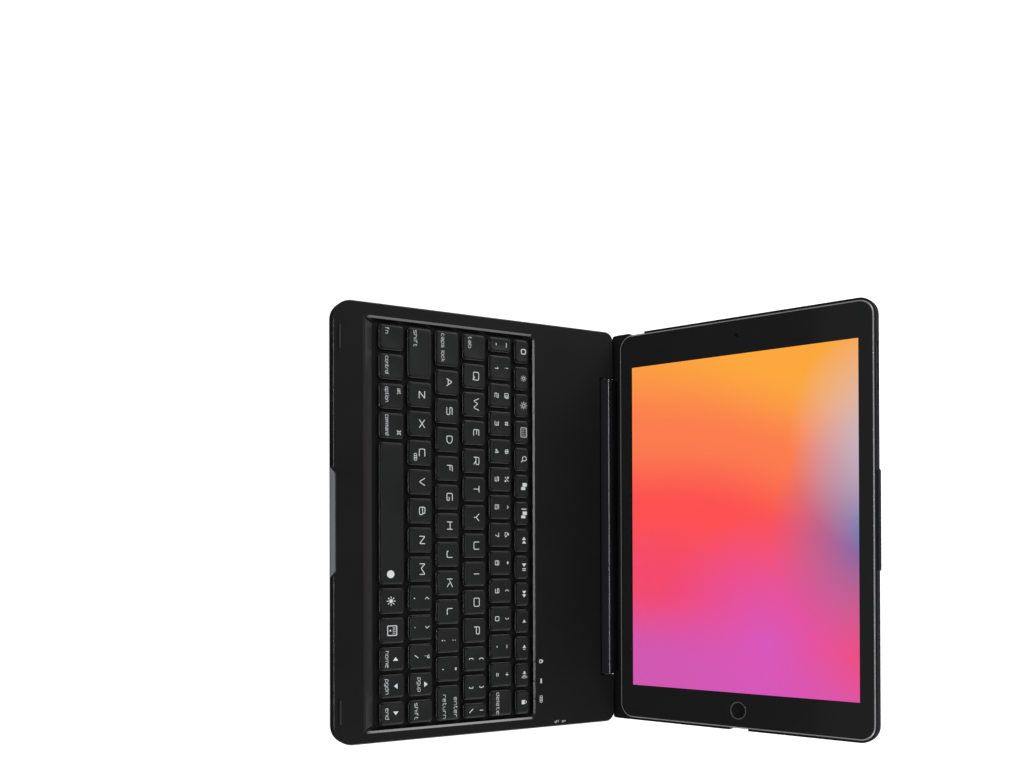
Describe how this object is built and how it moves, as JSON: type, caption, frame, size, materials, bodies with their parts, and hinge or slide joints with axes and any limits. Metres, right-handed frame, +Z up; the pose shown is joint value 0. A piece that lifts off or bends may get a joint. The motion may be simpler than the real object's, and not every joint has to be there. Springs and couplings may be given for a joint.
{
  "type": "tablet keyboard case",
  "caption": "Black hard-shell clamshell keyboard case: sunken low-profile keys in the base, a slim snap-in tray with its tablet, and one wide friction barrel hinge.",
  "frame": {"origin": "centre of the base footprint on the resting plane", "axes": "+X to the right of the keyboard, +Y from the user to the hinge, +Z up; the lid rests 112.9 degrees open"},
  "size_m": [0.257, 0.2668, 0.1733],
  "materials": {
    "shell_black": "fine matte texture",
    "deck_black": "smooth satin",
    "key_black": "satin, light legends",
    "barrel_black": "satin",
    "steel": "plain",
    "rubber_black": "matte",
    "rubber_clear": "matte",
    "guide_plastic": "plain",
    "clear_plastic": "polished",
    "membrane_film": "satin",
    "board_green": "solder mask",
    "cell_foil": "foil",
    "magnet_plate": "nickel plate",
    "tablet_metal": "bead blasted grey",
    "black_glass": "polished, black border",
    "display_image": "lit, warm gradient",
    "lens_glass": "polished",
    "button_glass": "polished"
  },
  "bodies": {
    "base": {"bottom_shell": "shell_black", "top_deck": "deck_black", "key_plate": "steel", "key_membrane": "membrane_film", "rubber_domes": "rubber_clear", "scissor_frames": "guide_plastic", "light_guide": "clear_plastic", "circuit_board": "board_green", "battery_pack": "cell_foil", "charging_port": "steel", "power_switch_body": "deck_black", "status_light_pipes": "clear_plastic", "bumper_strips": "rubber_black", "closure_magnets": "magnet_plate", "plate_screws": "steel", "hinge_bracket_left": "steel", "hinge_bracket_right": "steel", "hinge_pin_left": "steel", "hinge_pin_right": "steel", "bracket_screws": "steel"},
    "lid": {"tray_shell": "shell_black", "hinge_barrel": "barrel_black", "barrel_end_caps": "steel", "friction_clips": "steel", "barrel_screws": "steel"},
    "tablet": {"tablet_housing": "tablet_metal", "front_glass": "black_glass", "display_panel": "display_image", "home_ring": "steel", "front_camera_lens": "lens_glass", "rear_camera_lens": "lens_glass"},
    "power_switch_knob": {"power_switch_knob": "key_black"},
    "home_button": {"home_button": "button_glass"},
    "power_button": {"power_button": "tablet_metal"},
    "volume_up_button": {"volume_up_button": "tablet_metal"},
    "volume_down_button": {"volume_down_button": "tablet_metal"},
    "key_fn": {"key_fn": "key_black"},
    "key_control": {"key_control": "key_black"},
    "key_option": {"key_option": "key_black"},
    "key_command": {"key_command": "key_black"},
    "key_space": {"key_space": "key_black"},
    "key_backlight": {"key_backlight": "key_black"},
    "key_hide_keyboard": {"key_hide_keyboard": "key_black"},
    "key_arrow_left": {"key_arrow_left": "key_black"},
    "key_arrow_down": {"key_arrow_down": "key_black"},
    "key_arrow_right": {"key_arrow_right": "key_black"},
    "key_arrow_up": {"key_arrow_up": "key_black"},
    "key_shift_left": {"key_shift_left": "key_black"},
    "key_shift_right": {"key_shift_right": "key_black"},
    "key_caps_lock": {"key_caps_lock": "key_black"},
    "key_enter": {"key_enter": "key_black"},
    "key_tab": {"key_tab": "key_black"},
    "key_backslash": {"key_backslash": "key_black"},
    "key_grave": {"key_grave": "key_black"},
    "key_delete": {"key_delete": "key_black"},
    "keys_lower_letters": {"keys_lower_letters": "key_black"},
    "keys_home_letters": {"keys_home_letters": "key_black"},
    "keys_upper_letters": {"keys_upper_letters": "key_black"},
    "keys_numbers": {"keys_numbers": "key_black"},
    "keys_function_row": {"keys_function_row": "key_black"}
  },
  "joints": [
    {"name": "lid_hinge", "type": "hinge", "parent": "base", "child": "lid", "pos_m": [0, 0.08975, 0.0056], "axis": [-1, 0, 0], "range_deg": [-112.9, 22.1]},
    {"name": "tablet_lift_out", "type": "slide", "parent": "lid", "child": "tablet", "axis": [0, -0.9212, 0.3891], "range_m": [0, 0.03]},
    {"name": "power_switch_slide", "type": "slide", "parent": "base", "child": "power_switch_knob", "axis": [0, 1, 0], "range_m": [0, 0.003]},
    {"name": "home_button_press", "type": "slide", "parent": "tablet", "child": "home_button", "axis": [0, 0.9212, -0.3891], "range_m": [0, 0.00025], "stiffness_N_per_m": 40, "springref_m": -0.0002},
    {"name": "power_button_press", "type": "slide", "parent": "tablet", "child": "power_button", "axis": [1, 0, 0], "range_m": [0, 0.00025], "stiffness_N_per_m": 20, "springref_m": -0.0002},
    {"name": "volume_up_press", "type": "slide", "parent": "tablet", "child": "volume_up_button", "axis": [0, -0.3891, -0.9212], "range_m": [0, 0.00025], "stiffness_N_per_m": 20, "springref_m": -0.0002},
    {"name": "volume_down_press", "type": "slide", "parent": "tablet", "child": "volume_down_button", "axis": [0, -0.3891, -0.9212], "range_m": [0, 0.00025], "stiffness_N_per_m": 20, "springref_m": -0.0002},
    {"name": "key_fn_press", "type": "slide", "parent": "base", "child": "key_fn", "axis": [0, 0, -1], "range_m": [0, 0.0013], "stiffness_N_per_m": 60, "springref_m": -0.0005, "deforming": ["rubber_domes"]},
    {"name": "key_control_press", "type": "slide", "parent": "base", "child": "key_control", "axis": [0, 0, -1], "range_m": [0, 0.0013], "stiffness_N_per_m": 60, "springref_m": -0.0005, "deforming": ["rubber_domes"]},
    {"name": "key_option_press", "type": "slide", "parent": "base", "child": "key_option", "axis": [0, 0, -1], "range_m": [0, 0.0013], "stiffness_N_per_m": 60, "springref_m": -0.0005, "deforming": ["rubber_domes"]},
    {"name": "key_command_press", "type": "slide", "parent": "base", "child": "key_command", "axis": [0, 0, -1], "range_m": [0, 0.0013], "stiffness_N_per_m": 60, "springref_m": -0.0005, "deforming": ["rubber_domes"]},
    {"name": "key_space_press", "type": "slide", "parent": "base", "child": "key_space", "axis": [0, 0, -1], "range_m": [0, 0.0013], "stiffness_N_per_m": 60, "springref_m": -0.0005, "deforming": ["rubber_domes"]},
    {"name": "key_backlight_press", "type": "slide", "parent": "base", "child": "key_backlight", "axis": [0, 0, -1], "range_m": [0, 0.0013], "stiffness_N_per_m": 60, "springref_m": -0.0005, "deforming": ["rubber_domes"]},
    {"name": "key_hide_keyboard_press", "type": "slide", "parent": "base", "child": "key_hide_keyboard", "axis": [0, 0, -1], "range_m": [0, 0.0013], "stiffness_N_per_m": 60, "springref_m": -0.0005, "deforming": ["rubber_domes"]},
    {"name": "key_arrow_left_press", "type": "slide", "parent": "base", "child": "key_arrow_left", "axis": [0, 0, -1], "range_m": [0, 0.0013], "stiffness_N_per_m": 60, "springref_m": -0.0005, "deforming": ["rubber_domes"]},
    {"name": "key_arrow_down_press", "type": "slide", "parent": "base", "child": "key_arrow_down", "axis": [0, 0, -1], "range_m": [0, 0.0013], "stiffness_N_per_m": 60, "springref_m": -0.0005, "deforming": ["rubber_domes"]},
    {"name": "key_arrow_right_press", "type": "slide", "parent": "base", "child": "key_arrow_right", "axis": [0, 0, -1], "range_m": [0, 0.0013], "stiffness_N_per_m": 60, "springref_m": -0.0005, "deforming": ["rubber_domes"]},
    {"name": "key_arrow_up_press", "type": "slide", "parent": "base", "child": "key_arrow_up", "axis": [0, 0, -1], "range_m": [0, 0.0013], "stiffness_N_per_m": 60, "springref_m": -0.0005, "deforming": ["rubber_domes"]},
    {"name": "key_shift_left_press", "type": "slide", "parent": "base", "child": "key_shift_left", "axis": [0, 0, -1], "range_m": [0, 0.0013], "stiffness_N_per_m": 60, "springref_m": -0.0005, "deforming": ["rubber_domes"]},
    {"name": "key_shift_right_press", "type": "slide", "parent": "base", "child": "key_shift_right", "axis": [0, 0, -1], "range_m": [0, 0.0013], "stiffness_N_per_m": 60, "springref_m": -0.0005, "deforming": ["rubber_domes"]},
    {"name": "key_caps_lock_press", "type": "slide", "parent": "base", "child": "key_caps_lock", "axis": [0, 0, -1], "range_m": [0, 0.0013], "stiffness_N_per_m": 60, "springref_m": -0.0005, "deforming": ["rubber_domes"]},
    {"name": "key_enter_press", "type": "slide", "parent": "base", "child": "key_enter", "axis": [0, 0, -1], "range_m": [0, 0.0013], "stiffness_N_per_m": 60, "springref_m": -0.0005, "deforming": ["rubber_domes"]},
    {"name": "key_tab_press", "type": "slide", "parent": "base", "child": "key_tab", "axis": [0, 0, -1], "range_m": [0, 0.0013], "stiffness_N_per_m": 60, "springref_m": -0.0005, "deforming": ["rubber_domes"]},
    {"name": "key_backslash_press", "type": "slide", "parent": "base", "child": "key_backslash", "axis": [0, 0, -1], "range_m": [0, 0.0013], "stiffness_N_per_m": 60, "springref_m": -0.0005, "deforming": ["rubber_domes"]},
    {"name": "key_grave_press", "type": "slide", "parent": "base", "child": "key_grave", "axis": [0, 0, -1], "range_m": [0, 0.0013], "stiffness_N_per_m": 60, "springref_m": -0.0005, "deforming": ["rubber_domes"]},
    {"name": "key_delete_press", "type": "slide", "parent": "base", "child": "key_delete", "axis": [0, 0, -1], "range_m": [0, 0.0013], "stiffness_N_per_m": 60, "springref_m": -0.0005, "deforming": ["rubber_domes"]},
    {"name": "keys_lower_letters_press", "type": "slide", "parent": "base", "child": "keys_lower_letters", "axis": [0, 0, -1], "range_m": [0, 0.0013], "stiffness_N_per_m": 300, "springref_m": -0.0005, "deforming": ["rubber_domes"]},
    {"name": "keys_home_letters_press", "type": "slide", "parent": "base", "child": "keys_home_letters", "axis": [0, 0, -1], "range_m": [0, 0.0013], "stiffness_N_per_m": 300, "springref_m": -0.0005, "deforming": ["rubber_domes"]},
    {"name": "keys_upper_letters_press", "type": "slide", "parent": "base", "child": "keys_upper_letters", "axis": [0, 0, -1], "range_m": [0, 0.0013], "stiffness_N_per_m": 300, "springref_m": -0.0005, "deforming": ["rubber_domes"]},
    {"name": "keys_numbers_press", "type": "slide", "parent": "base", "child": "keys_numbers", "axis": [0, 0, -1], "range_m": [0, 0.0013], "stiffness_N_per_m": 300, "springref_m": -0.0005, "deforming": ["rubber_domes"]},
    {"name": "keys_function_row_press", "type": "slide", "parent": "base", "child": "keys_function_row", "axis": [0, 0, -1], "range_m": [0, 0.0013], "stiffness_N_per_m": 300, "springref_m": -0.0005, "deforming": ["rubber_domes"]}
  ]
}
